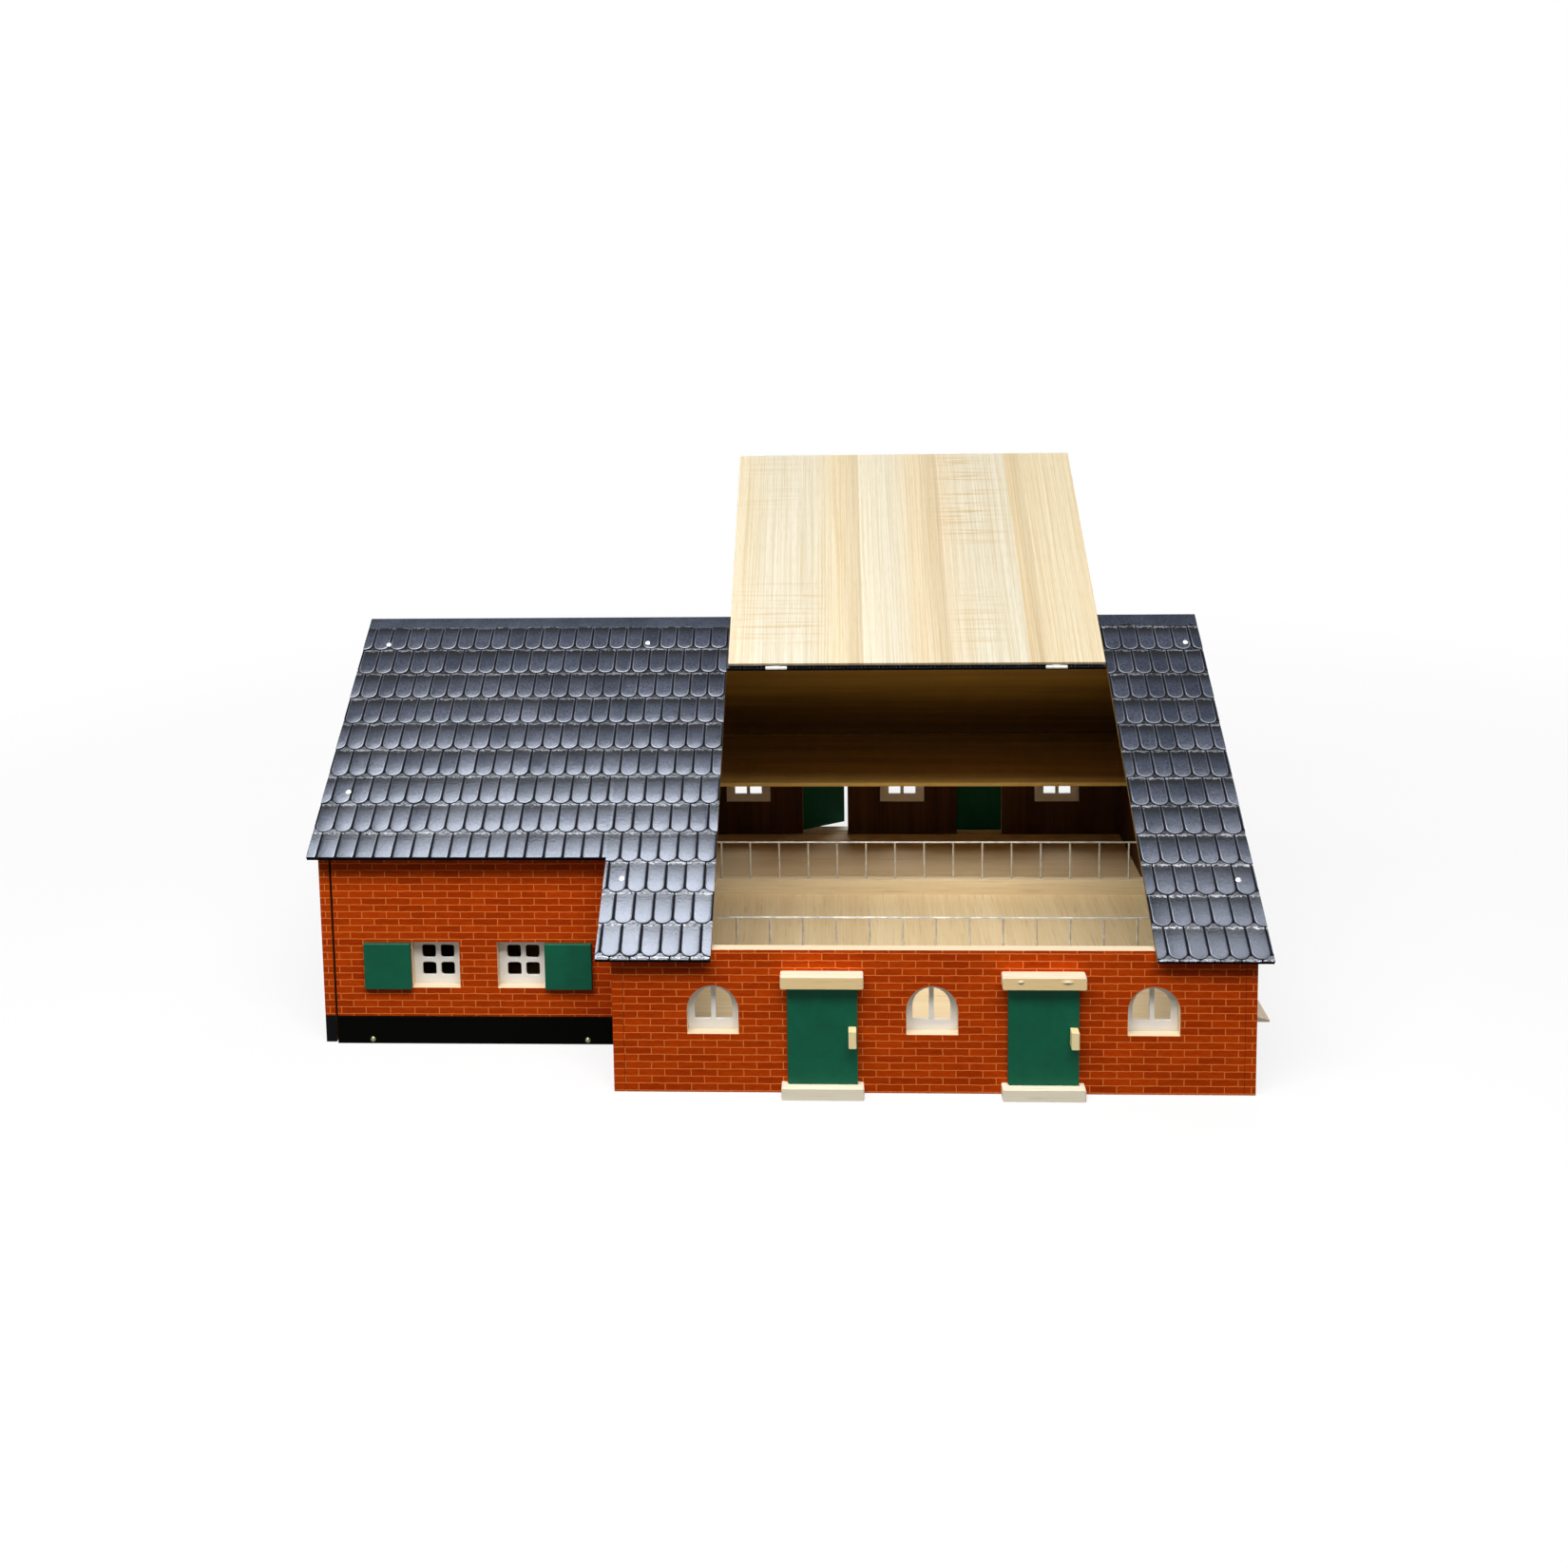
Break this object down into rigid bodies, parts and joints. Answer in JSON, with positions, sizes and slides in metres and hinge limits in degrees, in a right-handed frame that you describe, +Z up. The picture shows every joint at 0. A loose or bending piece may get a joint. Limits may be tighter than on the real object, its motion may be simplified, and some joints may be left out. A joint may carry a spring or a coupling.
{
  "type": "toy barn",
  "caption": "Wooden toy barn with a low side wing, small hinged doors, a feed alley with fences, a loft and a roof flap that folds back over the ridge.",
  "frame": {"origin": "on the underside of the hall floor, below the ridge, halfway along the hall", "axes": "+X along the ridge away from the wing, -Y towards the hall's front wall, +Z up"},
  "size_m": [0.8343, 0.6146, 0.4641],
  "materials": {
    "brick_board": "printed brick face, satin",
    "roof_sheet": "slate-grey embossed tiles over bare board, semi-gloss",
    "floor_board": "bare, fine grain",
    "deck_board": "bare, pale",
    "green_paint": "green paint, satin",
    "cream_paint": "pale cream paint over grain, satin",
    "black_paint": "black paint, satin",
    "window_white": "moulded, satin",
    "fence_wire": "galvanised wire",
    "hinge_enamel": "white enamel"
  },
  "bodies": {
    "barn": {"front_wall": "brick_board", "rear_wall": "brick_board", "wing_front_wall": "brick_board", "left_gable": "brick_board", "partition_gable": "brick_board", "right_gable": "brick_board", "wing_plinth": "black_paint", "front_window_1": "window_white", "front_window_2": "window_white", "front_window_3": "window_white", "rear_window_1": "window_white", "rear_window_2": "window_white", "rear_window_3": "window_white", "wing_window_1": "window_white", "wing_window_2": "window_white", "shutter_1": "green_paint", "shutter_2": "green_paint", "front_door_left_lintel": "cream_paint", "front_door_left_sill": "cream_paint", "front_door_right_lintel": "cream_paint", "front_door_right_sill": "cream_paint", "rear_door_left_lintel": "cream_paint", "rear_door_left_sill": "cream_paint", "rear_door_right_lintel": "cream_paint", "rear_door_right_sill": "cream_paint", "ramp": "deck_board", "gable_lintel": "cream_paint", "hall_floor": "floor_board", "wing_floor": "floor_board", "alley_deck": "deck_board", "front_kerb": "deck_board", "rear_kerb": "deck_board", "front_feed_fence": "fence_wire", "rear_feed_fence": "fence_wire", "loft_floor": "floor_board", "loft_batten_left": "floor_board", "loft_batten_right": "floor_board", "ridge_beam": "floor_board", "left_rafters": "floor_board", "roof_panel_left": "roof_sheet", "roof_panel_right": "roof_sheet", "roof_panel_ridge": "roof_sheet", "roof_panel_rear": "roof_sheet", "hinge_1_fixed_leaf": "hinge_enamel", "hinge_2_fixed_leaf": "hinge_enamel"},
    "flap": {"roof_flap": "roof_sheet", "hinge_1_flap_leaf": "hinge_enamel", "hinge_2_flap_leaf": "hinge_enamel"},
    "front_door_left": {"front_door_left": "green_paint", "front_door_left_handle": "cream_paint"},
    "front_door_right": {"front_door_right": "green_paint", "front_door_right_handle": "cream_paint"},
    "rear_door_left": {"rear_door_left": "green_paint", "rear_door_left_handle": "cream_paint"},
    "rear_door_right": {"rear_door_right": "green_paint", "rear_door_right_handle": "cream_paint"},
    "gable_door_front": {"gable_door_front": "green_paint", "gable_door_front_handle": "cream_paint"},
    "gable_door_rear": {"gable_door_rear": "green_paint", "gable_door_rear_handle": "cream_paint"}
  },
  "joints": [
    {"name": "flap_hinge", "type": "hinge", "parent": "barn", "child": "flap", "pos_m": [0, -0.05301, 0.29403], "axis": [1, 0, 0], "range_deg": [0, 182.06]},
    {"name": "front_door_left_hinge", "type": "hinge", "parent": "barn", "child": "front_door_left", "pos_m": [-0.11525, -0.28275, 0.05], "axis": [0, 0, 1], "range_deg": [-150, 0]},
    {"name": "front_door_right_hinge", "type": "hinge", "parent": "barn", "child": "front_door_right", "pos_m": [0.06275, -0.28275, 0.05], "axis": [0, 0, 1], "range_deg": [-150, 0]},
    {"name": "rear_door_left_hinge", "type": "hinge", "parent": "barn", "child": "rear_door_left", "pos_m": [-0.11525, 0.28275, 0.05], "axis": [0, 0, 1], "range_deg": [-30, 120]},
    {"name": "rear_door_right_hinge", "type": "hinge", "parent": "barn", "child": "rear_door_right", "pos_m": [0.06275, 0.28275, 0.05], "axis": [0, 0, 1], "range_deg": [0, 150]},
    {"name": "gable_door_front_hinge", "type": "hinge", "parent": "barn", "child": "gable_door_front", "pos_m": [0.26275, -0.10025, 0.05], "axis": [0, 0, 1], "range_deg": [-150, 0]},
    {"name": "gable_door_rear_hinge", "type": "hinge", "parent": "barn", "child": "gable_door_rear", "pos_m": [0.26275, 0.10025, 0.05], "axis": [0, 0, 1], "range_deg": [0, 150]}
  ]
}
